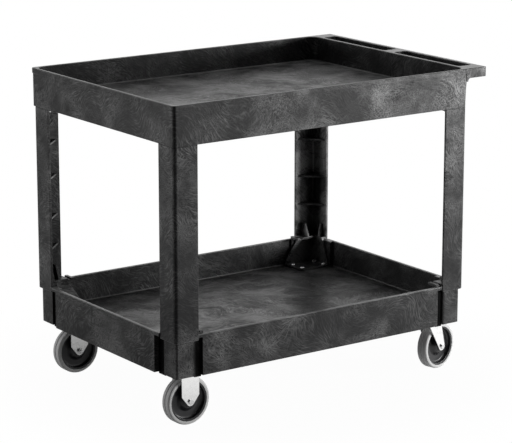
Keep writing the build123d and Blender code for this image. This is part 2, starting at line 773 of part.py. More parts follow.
def make_wheel(name, frame, outward):
    """Hub, tyre, sleeve, axle bolt and nut. The bolt's head is on the cart's outer side."""
    axle = Axis(frame.origin + frame.z_dir * wheel_radius, frame.y_dir)
    # Half sections are drawn in a plane that holds the axle: X along the axle, Y outward from it
    section = Plane(origin=axle.position, x_dir=frame.y_dir, z_dir=frame.x_dir)
    with BuildPart() as hub:
        with BuildSketch(section):
            with BuildLine():
                bore = sleeve_diameter / 2 + running_gap
                web_top = hub_radius - hub_rim
                Polyline(
                    (-hub_length / 2, bore), (hub_length / 2, bore),
                    (hub_length / 2, hub_boss_tip), (hub_length / 2 - hub_dish, hub_boss_radius),
                    (hub_web / 2, hub_boss_radius + hub_dish), (hub_web / 2, web_top - hub_dish),
                    (hub_rim_width / 2, web_top), (hub_rim_width / 2, hub_radius),
                    (-hub_rim_width / 2, hub_radius), (-hub_rim_width / 2, web_top),
                    (-hub_web / 2, web_top - hub_dish), (-hub_web / 2, hub_boss_radius + hub_dish),
                    (-hub_length / 2 + hub_dish, hub_boss_radius), (-hub_length / 2, hub_boss_tip),
                    close=True,
                )
            make_face()
        revolve(axis=axle)
    save(hub, f"wheel_hub_{name}")
    with BuildPart() as tyre:
        with BuildSketch(section) as tread:
            with BuildLine():
                half = wheel_width / 2
                groove = tread_groove_width / 2
                floor = wheel_radius - tread_groove_depth
                Polyline(
                    (-half, hub_radius), (half, hub_radius), (half, wheel_radius), (groove, wheel_radius),
                    (groove, floor), (-groove, floor), (-groove, wheel_radius), (-half, wheel_radius),
                    close=True,
                )
            make_face()
            shoulders = tread.vertices().filter_by(lambda v: abs(v.X) > groove and v.Y > floor)
            fillet(shoulders, tyre_shoulder)
        revolve(axis=axle)
    save(tyre, f"tyre_{name}")
    with BuildPart() as sleeve:
        with BuildSketch(upright(frame)):
            with Locations((0, wheel_radius)):
                Circle(sleeve_diameter / 2)
                Circle(axle_diameter / 2 + hole_gap, mode=Mode.SUBTRACT)
        extrude(amount=fork_inside / 2, both=True)
    save(sleeve, f"axle_sleeve_{name}")
    grip = fork_inside / 2 + fork_steel
    toward = Plane(origin=frame.origin, x_dir=frame.x_dir * -outward, z_dir=frame.y_dir * outward)
    with BuildPart() as bolt:
        with BuildSketch(toward.offset(grip)):
            with Locations((0, wheel_radius)):
                RegularPolygon(nut_width / 2, 6, major_radius=False)
        extrude(amount=bolt_head_height)
        with BuildSketch(toward.offset(-grip - nut_height - bolt_tail)):
            with Locations((0, wheel_radius)):
                Circle(axle_diameter / 2)
        extrude(amount=2 * grip + nut_height + bolt_tail)
    save(bolt, f"axle_bolt_{name}")
    with BuildPart() as nut:
        with BuildSketch(toward.offset(-grip - nut_height)):
            with Locations((0, wheel_radius)):
                RegularPolygon(nut_width / 2, 6, major_radius=False)
                Circle(axle_diameter / 2 + running_gap, mode=Mode.SUBTRACT)
        extrude(amount=nut_height)
    save(nut, f"axle_nut_{name}")


def turned_frame(x, y, degrees):
    """Frame on the floor at (x, y), with its X axis turned by an angle about +Z."""
    angle = radians(degrees)
    return Plane(origin=(x, y, 0), x_dir=(cos(angle), sin(angle), 0), z_dir=(0, 0, 1))


for name, side in (("front", -1), ("back", 1)):
    rigid_frame = turned_frame(*caster_centre(-1, side), 0)
    make_rigid_fork(name, rigid_frame)
    make_wheel(f"{name}_left", rigid_frame, side)
    plate_frame = turned_frame(*caster_centre(1, side), 0)
    make_swivel_plate(name, plate_frame)
    make_balls(name, plate_frame)
    make_kingpin(name, plate_frame)
    swivel_frame = turned_frame(*caster_centre(1, side), swivel_turn[name])
    make_swivel_fork(name, swivel_frame)
    wheel_frame = Plane(
        origin=swivel_frame.origin + swivel_frame.x_dir * swivel_trail,
        x_dir=swivel_frame.x_dir,
        z_dir=swivel_frame.z_dir,
    )
    make_wheel(f"{name}_right", wheel_frame, side)
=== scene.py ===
# %% [markdown]
# # A moulded utility cart
# The cart is two deep trays on four L-shaped corner legs, all moulded in dark structural foam,
# with zinc plated casters under it. The CAD model fixes every size, so it is loaded first and
# the rest of this lesson gives each piece its soft edges and its real finish.

# %% Load the frame
import json
import math

import bmesh
import bpy
from mathutils import Matrix, Vector


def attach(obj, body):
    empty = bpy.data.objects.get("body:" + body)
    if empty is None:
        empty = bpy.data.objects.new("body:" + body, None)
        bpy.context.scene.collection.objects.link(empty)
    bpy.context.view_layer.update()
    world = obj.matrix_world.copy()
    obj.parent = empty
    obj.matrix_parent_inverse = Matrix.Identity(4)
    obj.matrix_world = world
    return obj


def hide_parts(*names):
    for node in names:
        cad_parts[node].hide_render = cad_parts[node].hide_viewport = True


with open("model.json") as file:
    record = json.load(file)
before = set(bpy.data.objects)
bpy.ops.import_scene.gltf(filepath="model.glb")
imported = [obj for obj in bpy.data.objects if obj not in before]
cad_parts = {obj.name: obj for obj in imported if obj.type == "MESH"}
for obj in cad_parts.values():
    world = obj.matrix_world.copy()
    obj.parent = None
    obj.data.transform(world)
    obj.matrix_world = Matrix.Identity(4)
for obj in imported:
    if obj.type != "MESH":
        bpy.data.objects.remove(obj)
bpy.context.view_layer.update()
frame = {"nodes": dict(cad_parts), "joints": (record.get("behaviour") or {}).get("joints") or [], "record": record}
nodes = frame["nodes"]

# %% [markdown]
# ## Camera
# The cart was seen from a little above, past its front left corner, with a long lens. A camera
# could be nudged by eye until the picture agrees. Here the place, the aim and the focal length
# were fitted to the cart's own edges, because a fit brings all of them into line at once. The
# lens is given in pixels of a picture 512 wide and turned into millimetres of a 36 mm sensor.

# %% Camera
picture_width = 512
focal_pixels = 2279.7
camera_data = bpy.data.cameras.new("studio_camera")
camera_data.sensor_width = 36.0
camera_data.lens = focal_pixels / picture_width * camera_data.sensor_width
camera_data.clip_end = 60.0
camera = bpy.data.objects.new("studio_camera", camera_data)
camera.location = (-3.469, -4.88761, 1.86191)
aim = Vector((-0.08785, -0.1089, 0.450))
camera.rotation_euler = (aim - camera.location).to_track_quat("-Z", "Y").to_euler()
bpy.context.scene.collection.objects.link(camera)
bpy.context.scene.camera = camera
print("lens", round(camera_data.lens, 2), "mm")

# %% [markdown]
# ## Nodes and colours
# Every material below is a small node tree. One function adds a node, sets its options and
# fills its sockets, either with a value or with a link. Colours are written as sRGB hex, as a
# designer would note them, and turned to the linear values that the shader works in.

# %% Helpers for materials
def add(tree, kind, sockets=None, **options):
    """Add a node. Sockets maps a name or number to a value or to another node's output."""
    node = tree.nodes.new(kind)
    for name, value in options.items():
        setattr(node, name, value)
    for name, value in (sockets or {}).items():
        if isinstance(value, bpy.types.NodeSocket):
            tree.links.new(value, node.inputs[name])
        else:
            node.inputs[name].default_value = value
    return node


def linear(code):
    """A colour written as sRGB hex, in linear light."""
    values = [int(code[i:i + 2], 16) / 255 for i in (1, 3, 5)]
    return [v / 12.92 if v <= 0.04045 else ((v + 0.055) / 1.055) ** 2.4 for v in values] + [1.0]


def per_mm(size):
    """Texture scale, in cells per metre, for a pattern whose cells are this many millimetres."""
    return 1000.0 / size


def new_material(name):
    """A material with only a principled shader and an output."""
    material = bpy.data.materials.new(name)
    material.use_nodes = True
    tree = material.node_tree
    tree.nodes.clear()
    shader = add(tree, "ShaderNodeBsdfPrincipled")
    add(tree, "ShaderNodeOutputMaterial", {"Surface": shader.outputs[0]})
    return material, tree, shader


print("white is", linear("#ffffff"))

# %% [markdown]
# ## Studio
# The picture has a white sweep with hardly any shadow. A floor could be lit until it is white,
# but that light would wash out the plastic. Instead the camera, and the rays that gloss and
# metal reflect, see white, and the light that falls on the cart is set apart from that. The
# floor keeps a faint shadow.

# %% Floor
floor_size = 14.0
floor_mesh = bpy.data.meshes.new("studio_floor")
floor_bm = bmesh.new()
bmesh.ops.create_grid(floor_bm, x_segments=1, y_segments=1, size=floor_size / 2)
floor_bm.to_mesh(floor_mesh)
floor_bm.free()
floor = bpy.data.objects.new("studio_floor", floor_mesh)
bpy.context.scene.collection.objects.link(floor)
print("floor", floor_size, "m across")

# %% Whiteness of the floor for the camera
floor_material = bpy.data.materials.new("painted_floor")
floor_material.use_nodes = True
tree = floor_material.node_tree
tree.nodes.clear()
path = add(tree, "ShaderNodeLightPath")
coords = add(tree, "ShaderNodeTexCoord")

# Near the cart a little of the real paint shows through the white, and its shadow with it.
shadow_full, shadow_gone = 0.45, 0.95  # metres from the cart's middle
white_at_shadow = 0.975
reach = add(tree, "ShaderNodeVectorMath", {0: coords.outputs["Object"]}, operation="LENGTH")
whiteness = add(tree, "ShaderNodeMapRange", {"Value": reach.outputs["Value"], "From Min": shadow_full,
                                             "From Max": shadow_gone, "To Min": white_at_shadow,
                                             "To Max": 1.0}, interpolation_type="SMOOTHSTEP")
direct = add(tree, "ShaderNodeMath", {0: path.outputs["Is Camera Ray"], 1: whiteness.outputs["Result"]},
             operation="MULTIPLY")
print("shadow fades out at", shadow_gone, "m")

# %% [markdown]
# The plastic is glossy enough to mirror the floor, and in the picture the near corner and the
# left end seem to mirror something dark. A real studio lays black cloth for that. Here the floor
# is darker to reflected rays only, in a round patch behind the left end and in a wedge that opens
# from the near corner. Their size and darkness were set one by one. The camera sees neither.

# %% Darkness of the floor for reflections
patch_middle = (-0.6, 0.4, 0.0)
patch_full, patch_gone = 0.5, 1.3  # metres from that middle
white_at_patch = 0.2
near_corner = (-0.46, -0.33, 0.0)
wedge_direction = (-0.577, -0.816, 0.0)
wedge_edge, wedge_full = 0.56, 0.84  # cosines of the angle from that direction
white_at_wedge = 0.06

mirrored = add(tree, "ShaderNodeMath", {0: path.outputs["Is Glossy Ray"],
                                        1: path.outputs["Is Transmission Ray"]}, operation="MAXIMUM")
from_patch = add(tree, "ShaderNodeVectorMath", {0: coords.outputs["Object"], 1: patch_middle},
                 operation="DISTANCE")
shade = add(tree, "ShaderNodeMapRange", {"Value": from_patch.outputs["Value"], "From Min": patch_full,
                                         "From Max": patch_gone, "To Min": white_at_patch,
                                         "To Max": 1.0}, interpolation_type="SMOOTHSTEP")
from_corner = add(tree, "ShaderNodeVectorMath", {0: coords.outputs["Object"], 1: near_corner},
                  operation="SUBTRACT")
from_corner = add(tree, "ShaderNodeVectorMath", {0: from_corner.outputs[0]}, operation="NORMALIZE")
turned_away = add(tree, "ShaderNodeVectorMath", {0: from_corner.outputs[0], 1: wedge_direction},
                  operation="DOT_PRODUCT")
cloth = add(tree, "ShaderNodeMapRange", {"Value": turned_away.outputs["Value"], "From Min": wedge_edge,
                                         "From Max": wedge_full, "To Min": 1.0,
                                         "To Max": white_at_wedge}, interpolation_type="SMOOTHSTEP")
shade = add(tree, "ShaderNodeMath", {0: shade.outputs["Result"], 1: cloth.outputs["Result"]},
            operation="MULTIPLY")
print("reflections see the wedge at", white_at_wedge)

# %% Floor material
# Matt white floor paint: it scatters light evenly and shows no highlight.
share = add(tree, "ShaderNodeMath", {0: mirrored.outputs[0], 1: shade.outputs[0], 2: direct.outputs[0]},
            operation="MULTIPLY_ADD")
paint = add(tree, "ShaderNodeBsdfDiffuse", {"Color": linear("#dcdcdc")})
glow = add(tree, "ShaderNodeEmission", {"Color": linear("#ffffff"), "Strength": 1.0})
both = add(tree, "ShaderNodeMixShader", {0: share.outputs[0], 1: paint.outputs[0], 2: glow.outputs[0]})
add(tree, "ShaderNodeOutputMaterial", {"Surface": both.outputs[0]})
floor_mesh.materials.append(floor_material)
print("floor nodes", len(tree.nodes))

# %% White world
fill_strength = 0.16
world = bpy.data.worlds.new("white_sweep")
bpy.context.scene.world = world
world.use_nodes = True
tree = world.node_tree
tree.nodes.clear()
path = add(tree, "ShaderNodeLightPath")
seen = add(tree, "ShaderNodeMath", {0: path.outputs["Is Camera Ray"], 1: path.outputs["Is Glossy Ray"]},
           operation="MAXIMUM")
seen = add(tree, "ShaderNodeMath", {0: seen.outputs[0], 1: path.outputs["Is Transmission Ray"]},
           operation="MAXIMUM")
level = add(tree, "ShaderNodeMapRange", {"Value": seen.outputs[0], "To Min": fill_strength, "To Max": 1.0})
sky = add(tree, "ShaderNodeBackground", {"Color": linear("#ffffff"), "Strength": level.outputs["Result"]})
add(tree, "ShaderNodeOutputWorld", {"Surface": sky.outputs[0]})
bpy.context.scene.view_settings.view_transform = "Standard"
print("fill light", fill_strength)

# %% [markdown]
# ## Lamps
# The world alone would light the cart evenly, but the picture has a bright side and a dark
# corner, so three soft boxes do most of the lighting. One stands far to the right, so the long
# front wall grows brighter towards the handle. One stands to the left and behind, for the short
# end. One hangs above. Neither side box faces the near corner, which is why it goes dark.

# %% Soft boxes
def soft_box(name, place, target, size, power):
    """A square area lamp that looks at a point."""
    data = bpy.data.lights.new(name, "AREA")
    data.shape = "SQUARE"
    data.size = size
    data.energy = power
    lamp = bpy.data.objects.new(name, data)
    lamp.location = place
    lamp.rotation_euler = (Vector(target) - Vector(place)).to_track_quat("-Z", "Y").to_euler()
    lamp.visible_camera = False
    bpy.context.scene.collection.objects.link(lamp)


# Each box has a name, its place, aim and edge in metres, and its power in watts.
soft_boxes = (
    ("right_box", (2.9, -2.4, 0.8), (0.1, -0.1, 0.7), 0.9, 102.0),
    ("left_box", (-2.3, 2.2, 0.8), (-0.3, 0.0, 0.6), 1.1, 21.5),
    ("top_box", (0.2, 0.4, 3.3), (0.0, 0.0, 0.6), 2.2, 10.5),
)
for box in soft_boxes:
    soft_box(*box)
print("lamps", [box[0] for box in soft_boxes])

# %% [markdown]
# Two black cards, of the kind that studios call flags, do the rest. A large one behind the
# camera shows in the gloss of the near corner and keeps fill light from that side off the cart.
# A smaller one on the left shows only in reflections. Taking light away by a card is simpler
# than shading each lamp. The camera sees neither card, and neither casts a shadow.

# %% Flags
# Wool felt: it swallows nearly all light and has no gloss.
felt, tree, shader = new_material("black_felt")
shader.inputs["Base Color"].default_value = linear("#050505")
shader.inputs["Roughness"].default_value = 1.0
shader.inputs["Specular IOR Level"].default_value = 0.0

toward_camera = (camera.location - aim).normalized()
toward_left = Vector((-0.577, 0.816, 0.0))
# Each flag has a name, its direction and distance from the aim, half its edge in metres, and
# whether it stops fill light.
flags = (("front_flag", toward_camera, 7.0, 8.5, True), ("left_flag", toward_left, 2.4, 1.5, False))
for name, direction, distance, half_edge, stops_fill in flags:
    turn = direction.to_track_quat("Z", "Y").to_matrix().to_4x4()
    place = Matrix.Translation(aim + direction * distance) @ turn
    flag_mesh = bpy.data.meshes.new(name)
    flag_bm = bmesh.new()
    bmesh.ops.create_grid(flag_bm, x_segments=1, y_segments=1, size=half_edge, matrix=place)
    flag_bm.to_mesh(flag_mesh)
    flag_bm.free()
    flag_mesh.materials.append(felt)
    flag = bpy.data.objects.new(name, flag_mesh)
    flag.visible_camera = False
    flag.visible_shadow = False
    flag.visible_diffuse = stops_fill
    bpy.context.scene.collection.objects.link(flag)
print("flags", [entry[0] for entry in flags])

# %% [markdown]
# ## Structural foam
# The trays and legs are polyolefin, foamed as it fills the mould. Gas that reaches the skin is
# dragged along by the flow and leaves pale marks: feathery plumes round each gate where the melt
# came in, and fine hairs that follow its lanes. The pattern could be a picture wrapped round the
# cart, but that would stretch over ribs and corners. Noise in space runs through every wall
# alike. Voronoi cells stand for the gates, and the direction away from each gate for its plume.

# %% Foam: the flow
# Foamed polyolefin: a dark, slightly waxy skin, with pale marks that also catch more light.
foam, tree, shader = new_material("structural_foam")
here = add(tree, "ShaderNodeTexCoord").outputs["Object"]

# The melt wanders as it fills, so most patterns read a place that a slow noise pushes about.
drift_size = 140.0  # mm
drift_strength = 0.11  # metres
drift = add(tree, "ShaderNodeTexNoise", {"Vector": here, "Scale": per_mm(drift_size), "Detail": 1.0})
drift = add(tree, "ShaderNodeVectorMath", {0: drift.outputs["Color"], 1: (0.5, 0.5, 0.5)},
            operation="SUBTRACT")
drift = add(tree, "ShaderNodeVectorMath", {0: drift.outputs[0], "Scale": drift_strength}, operation="SCALE")
flow = add(tree, "ShaderNodeVectorMath", {0: here, 1: drift.outputs[0]}, operation="ADD").outputs[0]
print("the flow wanders over", drift_size, "mm")

# %% Foam: plumes
# Strands leave each gate like the barbs of a feather, brightest at the gate. Small gates lie
# between large ones, and some leave a strong mark while others leave hardly any.
barb_length = 30.0  # mm
gate_kinds = ((180.0, 26.0), (80.0, 15.0))  # mm between gates, strands in a radian of the plume
plumes = 0.0
for spacing, strands in gate_kinds:
    gate = add(tree, "ShaderNodeTexVoronoi", {"Vector": flow, "Scale": per_mm(spacing)})
    away = add(tree, "ShaderNodeVectorMath", {0: flow, 1: gate.outputs["Position"]}, operation="SUBTRACT")
    ray = add(tree, "ShaderNodeVectorMath", {0: away.outputs[0]}, operation="NORMALIZE")
    distance = add(tree, "ShaderNodeVectorMath", {0: away.outputs[0]}, operation="LENGTH").outputs["Value"]
    along = add(tree, "ShaderNodeMath", {0: distance, 1: per_mm(barb_length) / strands},
                operation="MULTIPLY")
    strand = add(tree, "ShaderNodeTexNoise", {"Vector": ray.outputs[0], "W": along.outputs[0],
                                              "Scale": strands, "Detail": 2.0, "Roughness": 0.6},
                 noise_dimensions="4D")
    barb = add(tree, "ShaderNodeMapRange", {"Value": strand.outputs["Fac"], "From Min": 0.43,
                                            "From Max": 0.64})
    root = add(tree, "ShaderNodeMapRange", {"Value": distance, "From Min": 0.08 * spacing / 1000,
                                            "From Max": 0.6 * spacing / 1000, "To Min": 1.0, "To Max": 0.3})
    luck = add(tree, "ShaderNodeMapRange", {"Value": gate.outputs["Color"], "From Min": 0.25,
                                            "From Max": 0.75, "To Min": 0.1, "To Max": 1.4})
    plume = add(tree, "ShaderNodeMath", {0: barb.outputs["Result"], 1: root.outputs["Result"]},
                operation="MULTIPLY")
    plume = add(tree, "ShaderNodeMath", {0: plume.outputs[0], 1: luck.outputs["Result"]},
                operation="MULTIPLY")
    plumes = add(tree, "ShaderNodeMath", {0: plume.outputs[0], 1: plumes}, operation="MAXIMUM").outputs[0]
print("kinds of gate", len(gate_kinds))

# %% Foam: hairs and patches
# Hairs about 20 mm long and 2 mm wide lie on lanes that wave across the whole piece. The lane is
# the fourth coordinate of their noise, and it changes much faster across a hair than along it.
hair_length = 20.0  # mm
lane_fineness = (5.0, 4.4, 7.0)  # how many lanes cross a hair's length along each axis
current = add(tree, "ShaderNodeTexNoise", {"Vector": flow, "Scale": per_mm(130), "Detail": 0.5})
across = add(tree, "ShaderNodeVectorMath", {0: flow, 1: lane_fineness}, operation="DOT_PRODUCT")
lane = add(tree, "ShaderNodeMath", {0: current.outputs["Fac"], 1: across.outputs["Value"]}, operation="ADD")
hairs = add(tree, "ShaderNodeTexNoise", {"Vector": here, "W": lane.outputs[0], "Scale": per_mm(hair_length),
                                         "Detail": 2.2}, noise_dimensions="4D")
streaks = add(tree, "ShaderNodeMapRange", {"Value": hairs.outputs["Fac"], "From Min": 0.48,
                                           "From Max": 0.68, "To Min": 0.0, "To Max": 0.65})
marks = add(tree, "ShaderNodeMath", {0: plumes, 1: streaks.outputs["Result"]}, operation="MAXIMUM")

# The marks come in patches a hand wide, and the skin between them is plainer.
patch = add(tree, "ShaderNodeTexNoise", {"Vector": flow, "Scale": per_mm(85), "Detail": 2.0})
patch = add(tree, "ShaderNodeMapRange", {"Value": patch.outputs["Fac"], "From Min": 0.36,
                                         "From Max": 0.64, "To Min": 0.2, "To Max": 1.0})
bloom = add(tree, "ShaderNodeMath", {0: marks.outputs[0], 1: patch.outputs["Result"]}, operation="MULTIPLY")
print("hairs", hair_length, "mm long")

# %% Foam: haze and painted light
# The floors look hazier than the walls. Sliding loads are the likely cause, so the haze is drawn
# as scuffs, broken up by the hairs, wherever an attribute of a face asks for it. The legs' inner
# faces take the same haze through that attribute as painted light.
haze_size = 110.0  # mm
haze_and_painted_light = add(tree, "ShaderNodeAttribute", attribute_name="haze_and_painted_light")
haze = add(tree, "ShaderNodeTexNoise", {"Vector": flow, "Scale": per_mm(haze_size), "Detail": 4.0,
                                        "Roughness": 0.6})
haze = add(tree, "ShaderNodeMapRange", {"Value": haze.outputs["Fac"], "From Min": 0.44,
                                        "From Max": 0.62, "To Min": 0.0, "To Max": 0.75})
hair_breakup = add(tree, "ShaderNodeMapRange", {"Value": hairs.outputs["Fac"], "From Min": 0.35,
                                           "From Max": 0.65, "To Min": 0.3, "To Max": 1.4})
haze = add(tree, "ShaderNodeMath", {0: haze.outputs["Result"], 1: hair_breakup.outputs["Result"]},
           operation="MULTIPLY")
haze = add(tree, "ShaderNodeMath", {0: haze.outputs[0], 1: haze_and_painted_light.outputs["Fac"]}, operation="MULTIPLY")
bloom = add(tree, "ShaderNodeMath", {0: bloom.outputs[0], 1: haze.outputs[0]}, operation="ADD",
            use_clamp=True)
print("haze in clouds of", haze_size, "mm")

# %% Foam: colour
# The grain of the skin is finer in life, and drawn coarser so that it shows.
grain_size = 2.6  # mm
tone = add(tree, "ShaderNodeTexNoise", {"Vector": flow, "Scale": per_mm(220), "Detail": 3.0})
grain = add(tree, "ShaderNodeTexNoise", {"Vector": here, "Scale": per_mm(grain_size), "Detail": 2.0})
skin = add(tree, "ShaderNodeMix", {"Factor": tone.outputs["Fac"], "A": linear("#0f0f10"),
                                   "B": linear("#1a1a1b")}, data_type="RGBA")
pale = add(tree, "ShaderNodeMix", {"Factor": bloom.outputs[0], "A": skin.outputs["Result"],
                                   "B": linear("#646464")}, data_type="RGBA")
speck = add(tree, "ShaderNodeMapRange", {"Value": grain.outputs["Fac"], "From Min": 0.3,
                                         "From Max": 0.7, "To Min": 0.82, "To Max": 1.18})

# Seams and grooves between mouldings get painted shade: an attribute on the corners of faces
# takes the light and the gloss out of them.
painted_shade = add(tree, "ShaderNodeAttribute", attribute_name="painted_shade")
unshaded = add(tree, "ShaderNodeMapRange", {"Value": painted_shade.outputs["Fac"], "To Min": 1.0, "To Max": 0.08})
speck = add(tree, "ShaderNodeMath", {0: speck.outputs["Result"], 1: unshaded.outputs["Result"]},
            operation="MULTIPLY")
colour = add(tree, "ShaderNodeVectorMath", {0: pale.outputs["Result"], "Scale": speck.outputs[0]},
             operation="SCALE")

# Handled edges are worn a little paler, and along the rims and lips the paler colour is also a
# painted highlight. The bevels and the rims' tops carry it as a face attribute.
edge = add(tree, "ShaderNodeAttribute", attribute_name="worn_and_highlit")
edge_patches = add(tree, "ShaderNodeMapRange", {"Value": patch.outputs["Result"], "To Min": 0.4, "To Max": 0.8})
wear_and_highlight = add(tree, "ShaderNodeMath", {0: edge.outputs["Fac"], 1: edge_patches.outputs["Result"]}, operation="MULTIPLY")
worn_and_highlit = add(tree, "ShaderNodeMix", {"Factor": wear_and_highlight.outputs[0], "A": colour.outputs[0],
                                     "B": linear("#8e8e8e")}, data_type="RGBA")
tree.links.new(worn_and_highlit.outputs["Result"], shader.inputs["Base Color"])
print("grain", grain_size, "mm")

# %% Foam: gloss and bump
# The skin is glossier in drawn-out clouds, which show most where a floor is seen at a low angle.
cloud = add(tree, "ShaderNodeTexNoise", {"Vector": flow, "W": lane.outputs[0], "Scale": per_mm(130),
                                         "Detail": 2.0}, noise_dimensions="4D")
cloudy = add(tree, "ShaderNodeMix", {"Factor": 0.35, "A": cloud.outputs["Fac"], "B": marks.outputs[0]},
             data_type="FLOAT")
gloss = add(tree, "ShaderNodeMapRange", {"Value": cloudy.outputs[0], "From Min": 0.2, "From Max": 0.5,
                                         "To Min": 0.62, "To Max": 0.34})
gloss = add(tree, "ShaderNodeMix", {"Factor": edge.outputs["Fac"], "A": gloss.outputs["Result"], "B": 0.28},
            data_type="FLOAT")
orange_peel = add(tree, "ShaderNodeMix", {"Factor": 0.35, "A": grain.outputs["Fac"], "B": bloom.outputs[0]},
                  data_type="FLOAT")
bump = add(tree, "ShaderNodeBump", {"Height": orange_peel.outputs[0], "Strength": 0.25, "Distance": 0.0006})
sheen = add(tree, "ShaderNodeMapRange", {"Value": bloom.outputs[0], "From Max": 0.7, "To Min": 0.2,
                                         "To Max": 0.82})
sheen = add(tree, "ShaderNodeMath", {0: sheen.outputs["Result"], 1: unshaded.outputs["Result"]},
            operation="MULTIPLY")
tree.links.new(gloss.outputs[0], shader.inputs["Roughness"])
tree.links.new(bump.outputs[0], shader.inputs["Normal"])
tree.links.new(sheen.outputs[0], shader.inputs["Specular IOR Level"])
shader.inputs["IOR"].default_value = 1.5
print("foam nodes", len(tree.nodes))

# %% [markdown]
# ## Moulded edges
# No moulding has a knife edge: rims are rounded for the hand, and floors meet walls in a radius.
# A Bevel modifier could round them all by one width. Here the CAD mesh is copied, its loose
# triangles are merged and its flat faces are joined again, and then chosen edges are bevelled,
# each kind by its own width: the floor corners most, the rims less and the rest only a little.
# The faces that a bevel makes are marked, so that the finish can treat edges on their own.

# %% Softened copies of CAD nodes
mm = 0.001
level_slack = 0.05 * mm  # how far a point may lie from a height and still count as on it


def merged(node):
    """A bmesh of a CAD node, with whole flat faces in place of loose triangles."""
    bm = bmesh.new()
    bm.from_mesh(nodes[node].data)
    bmesh.ops.remove_doubles(bm, verts=bm.verts, dist=0.004 * mm)
    bmesh.ops.join_triangles(bm, faces=bm.faces, angle_face_threshold=math.radians(0.5),
                             angle_shape_threshold=math.radians(60.0))
    return bm


def sharp_edges(bm, angle=30.0, level=None, hollow=None):
    """Edges that turn by more than an angle: anywhere or at one height, all or only the hollow ones."""
    found = []
    for edge in bm.edges:
        if len(edge.link_faces) != 2 or edge.calc_face_angle(0.0) < math.radians(angle):
            continue
        at_level = level is None or all(abs(v.co.z - level) < level_slack for v in edge.verts)
        if at_level and hollow in (None, not edge.is_convex):
            found.append(edge)
    return found


def bevel_edges(bm, chosen, width, segments, wear_and_highlight=0.2):
    """Round the chosen edges; mark their wear, partly a painted highlight, on the new faces."""
    worn_and_highlit_layer = bm.faces.layers.float.get("worn_and_highlit") or bm.faces.layers.float.new("worn_and_highlit")
    made = bmesh.ops.bevel(bm, geom=chosen, offset=width, offset_type="OFFSET", affect="EDGES",
                           segments=segments, profile=0.5, material=-1, clamp_overlap=False)
    for face in made["faces"]:
        face[worn_and_highlit_layer] = wear_and_highlight


def pull_in(bm, node):
    """Draw corners that a bevel pushed past the CAD node's own box back among their neighbours."""
    slack = 0.01 * mm
    passes = 4
    points = [v.co for v in nodes[node].data.vertices]
    low = [min(p[axis] for p in points) - slack for axis in range(3)]
    high = [max(p[axis] for p in points) + slack for axis in range(3)]
    stray = [v for v in bm.verts if any(not low[axis] < v.co[axis] < high[axis] for axis in range(3))]
    for _ in range(passes):
        bmesh.ops.smooth_vert(bm, verts=stray, factor=1.0, use_axis_x=True, use_axis_y=True, use_axis_z=True)
    print(node, len(stray), "corners drawn in")


print("loose triangles of the top tray", len(nodes["top_tray"].data.polygons))

# %% [markdown]
# A softened copy becomes a piece: a smooth shaded object that rides on the CAD node's body and
# stands for that node, which is hidden. The body is looked up in the record rather than written
# again, so that a piece can't be given the wrong one.

# %% Pieces
crease_angle = 35.0  # degrees; an edge that turns by more stays a crease


def piece_from(bm, name, node, material):
    """Make the bmesh a smooth shaded piece that stands for a CAD node."""
    mesh = bpy.data.meshes.new(name)
    bm.to_mesh(mesh)
    bm.free()
    mesh.polygons.foreach_set("use_smooth", [True] * len(mesh.polygons))
    mesh.set_sharp_from_angle(angle=math.radians(crease_angle))
    mesh.materials.append(material)
    piece = bpy.data.objects.new(name, mesh)
    bpy.context.scene.collection.objects.link(piece)
    weighted = piece.modifiers.new("flat faces stay flat", "WEIGHTED_NORMAL")
    weighted.keep_sharp = True
    body = next(b for b, members in frame["record"]["behaviour"]["bodies"].items() if node in members)
    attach(piece, body)
    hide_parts(node)


# %% [markdown]
# ## Wear, haze and painted shade
# Rims are worn paler, partly as a painted highlight, floors are hazy, the legs' inner faces are
# painted lighter as painted light, and seams between mouldings are painted black as painted
# shade. Such marks could be painted by hand. Here they are numbers stored on faces, or on the
# corners of faces where they have to fade, and the foam material reads them. A face that is only
# partly shaded is first divided along the border, which moves nothing.

# %% Marks on faces
def mark_level(bm, level, attribute):
    """Give the flat faces that lie at one height the full value of a face attribute."""
    layer = bm.faces.layers.float.get(attribute) or bm.faces.layers.float.new(attribute)
    for face in bm.faces:
        if all(abs(v.co.z - level) < level_slack for v in face.verts):
            face[layer] = 1.0


def cut_across(bm, axis, place):
    """Divide every face that crosses a plane square to one axis; nothing moves."""
    normal = Vector((0.0, 0.0, 0.0))
    normal[axis] = 1.0
    bmesh.ops.bisect_plane(bm, geom=bm.verts[:] + bm.edges[:] + bm.faces[:], dist=0.001 * mm,
                           plane_co=normal * place, plane_no=normal)


def paint_shade(bm, inside, amount):
    """Paint shade on the corners of the faces whose middles lie in a zone, each by its own amount."""
    layer = bm.loops.layers.float.get("painted_shade") or bm.loops.layers.float.new("painted_shade")
    for face in bm.faces:
        if inside(face.calc_center_median()):
            for loop in face.loops:
                loop[layer] = min(1.0, max(0.0, amount(loop.vert.co)))


# Places near a corner are found from where the legs' outer faces lie.
leg_left = min(v.co.x for v in nodes["leg_front_left"].data.vertices)
leg_right = max(v.co.x for v in nodes["leg_front_right"].data.vertices)
leg_side = max(v.co.y for v in nodes["leg_back_left"].data.vertices)


def inward(point):
    """How far a point lies inward from the legs' end faces and from their side faces."""
    return min(point.x - leg_left, leg_right - point.x), leg_side - abs(point.y)


print("legs", round(leg_left, 4), round(leg_right, 4), round(leg_side, 4))

# %% [markdown]
# The lower shelf has a block at each corner, with a groove on both sides of it, and each leg's
# lip hangs over a block. The seam under the lip gets painted shade that fades over a few
# millimetres. The grooves are painted black all through, as painted shade. On the front they look
# wider in the picture than they are in the CAD model, so a strip of the block beside them gets
# painted shade as well: it stands in for the missing width.

